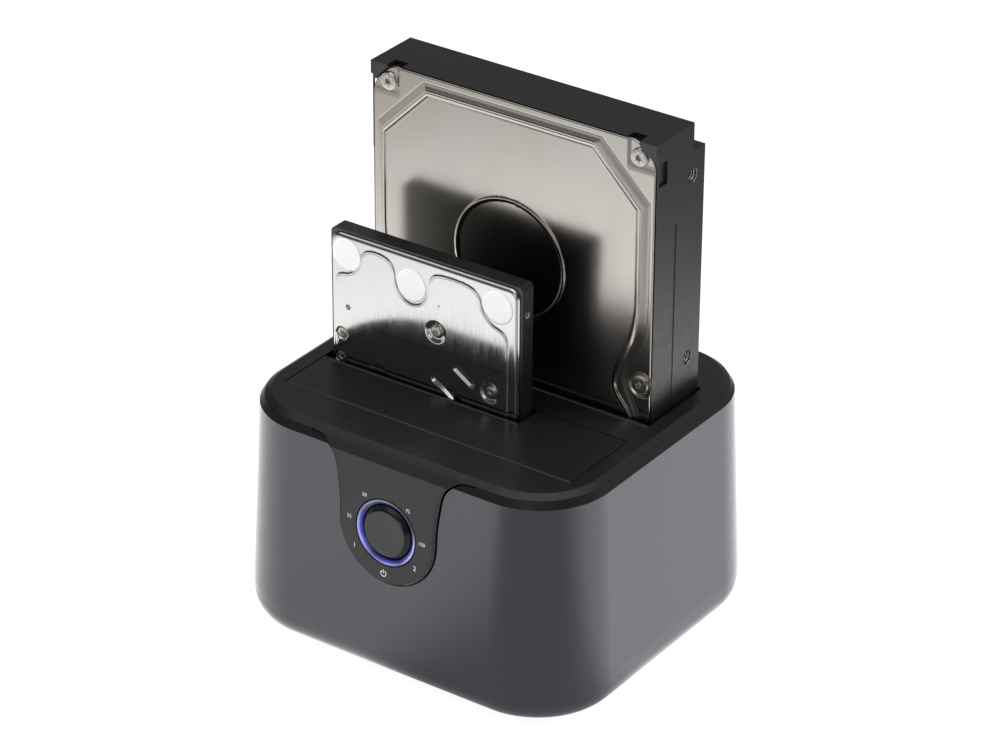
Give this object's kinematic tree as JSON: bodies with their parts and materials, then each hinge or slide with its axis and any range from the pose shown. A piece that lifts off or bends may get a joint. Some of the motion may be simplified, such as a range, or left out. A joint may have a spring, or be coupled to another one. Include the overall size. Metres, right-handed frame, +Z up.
{
  "type": "hard drive docking station",
  "caption": "Desktop dock with a flared rounded housing, sprung flaps over upright bays, a lit ring button, and a large and a small hard drive standing in it",
  "frame": {"origin": "middle of the footprint, on the surface that the four rubber feet stand on", "axes": "+X to the right along the wide front, +Y to the back from the button side, +Z up"},
  "size_m": [0.1266, 0.1169, 0.1676],
  "materials": {
    "shell_plastic": "polished black moulding that mirrors its surroundings",
    "base_plastic": "polished black moulding",
    "foot_rubber": "soft matt rubber",
    "screw_steel": "plain zinc-plated screws",
    "cover_plastic": "fine satin texture",
    "well_plastic": "matt black moulding",
    "circuit_board": "green lacquered circuit board",
    "chip_plastic": "matt moulded chip",
    "capacitor_aluminium": "drawn aluminium cans",
    "socket_plastic": "plain black connector moulding",
    "port_steel": "bright plated steel",
    "button_plastic": "polished black button",
    "light_plastic": "clear to milky light guide with a cool blue glow",
    "ribbon_plastic": "grey flat lead",
    "flap_plastic": "fine satin texture, as the cover",
    "cast_black": "satin black coated casting",
    "lid_steel": "smooth rolled steel, mirror-like along its faces",
    "cast_grey": "dark grey coated casting",
    "seal_label": "plain white adhesive discs"
  },
  "bodies": {
    "dock": {"outer_shell": "shell_plastic", "base_shell": "base_plastic", "rubber_feet": "foot_rubber", "base_screws": "screw_steel", "cover_screws": "screw_steel", "top_cover": "cover_plastic", "front_bay_well": "well_plastic", "rear_bay_well": "well_plastic", "well_screws": "screw_steel", "main_board": "circuit_board", "main_board_screws": "screw_steel", "board_chips": "chip_plastic", "capacitors": "capacitor_aluminium", "power_coils": "chip_plastic", "front_drive_socket": "socket_plastic", "rear_drive_socket": "socket_plastic", "usb_port": "port_steel", "usb_port_insert": "socket_plastic", "power_inlet": "socket_plastic", "power_inlet_pin": "port_steel", "power_switch": "socket_plastic", "button_board": "circuit_board", "button_board_screws": "screw_steel", "status_lights": "light_plastic", "tact_switch": "socket_plastic", "light_ring": "light_plastic", "ribbon_lead": "ribbon_plastic", "ribbon_plugs": "socket_plastic", "front_flap_pin": "port_steel", "rear_flap_pin": "port_steel"},
    "front_flap": {"front_flap": "flap_plastic", "front_small_flap_pin": "port_steel"},
    "front_small_flap": {"front_small_flap": "flap_plastic"},
    "rear_flap": {"rear_flap": "flap_plastic", "rear_small_flap_pin": "port_steel"},
    "rear_small_flap": {"rear_small_flap": "flap_plastic"},
    "copy_button": {"copy_button": "button_plastic", "tact_plunger": "button_plastic"},
    "power_button": {"power_button": "button_plastic"},
    "front_drive": {"small_drive_case": "cast_grey", "small_drive_lid": "lid_steel", "small_drive_screws": "screw_steel", "small_drive_seals": "seal_label", "small_drive_board": "circuit_board", "small_drive_plug": "socket_plastic", "small_drive_motor": "lid_steel"},
    "rear_drive": {"large_drive_case": "cast_black", "large_drive_lid": "lid_steel", "large_drive_screws": "screw_steel", "large_drive_board": "circuit_board", "large_drive_plug": "socket_plastic", "large_board_screws": "screw_steel", "large_drive_motor": "lid_steel"}
  },
  "joints": [
    {"name": "front_flap_hinge", "type": "hinge", "parent": "dock", "child": "front_flap", "pos_m": [0, -0.0365, 0.0764], "axis": [1, 0, 0], "range_deg": [-85, 0], "stiffness_Nm_per_rad": 0.003, "springref_deg": 34.38},
    {"name": "front_small_flap_hinge", "type": "hinge", "parent": "front_flap", "child": "front_small_flap", "pos_m": [0, -0.0179, 0.0766], "axis": [1, 0, 0], "range_deg": [0, 85]},
    {"name": "rear_flap_hinge", "type": "hinge", "parent": "dock", "child": "rear_flap", "pos_m": [0, 0.0033, 0.0764], "axis": [1, 0, 0], "range_deg": [0, 2]},
    {"name": "rear_small_flap_hinge", "type": "hinge", "parent": "rear_flap", "child": "rear_small_flap", "pos_m": [0, 0.0035, 0.0578], "axis": [1, 0, 0], "range_deg": [-3, 0], "stiffness_Nm_per_rad": 0.0005, "springref_deg": 17.19},
    {"name": "copy_button_slide", "type": "slide", "parent": "dock", "child": "copy_button", "axis": [0, 0.9989, -0.0471], "range_m": [0, 0.0008], "stiffness_N_per_m": 1500, "springref_m": -0.0003},
    {"name": "power_button_slide", "type": "slide", "parent": "dock", "child": "power_button", "axis": [0, -1, 0], "range_m": [0, 0.0014], "stiffness_N_per_m": 1000, "springref_m": -0.0005},
    {"name": "front_drive_slide", "type": "slide", "parent": "dock", "child": "front_drive", "axis": [0, 0, 1], "range_m": [0, 0.065]},
    {"name": "rear_drive_slide", "type": "slide", "parent": "dock", "child": "rear_drive", "axis": [0, 0, 1], "range_m": [0, 0.065]}
  ],
  "couplings": [
    {"joint": "front_small_flap_hinge", "follows": "front_flap_hinge", "ratio": -1}
  ]
}
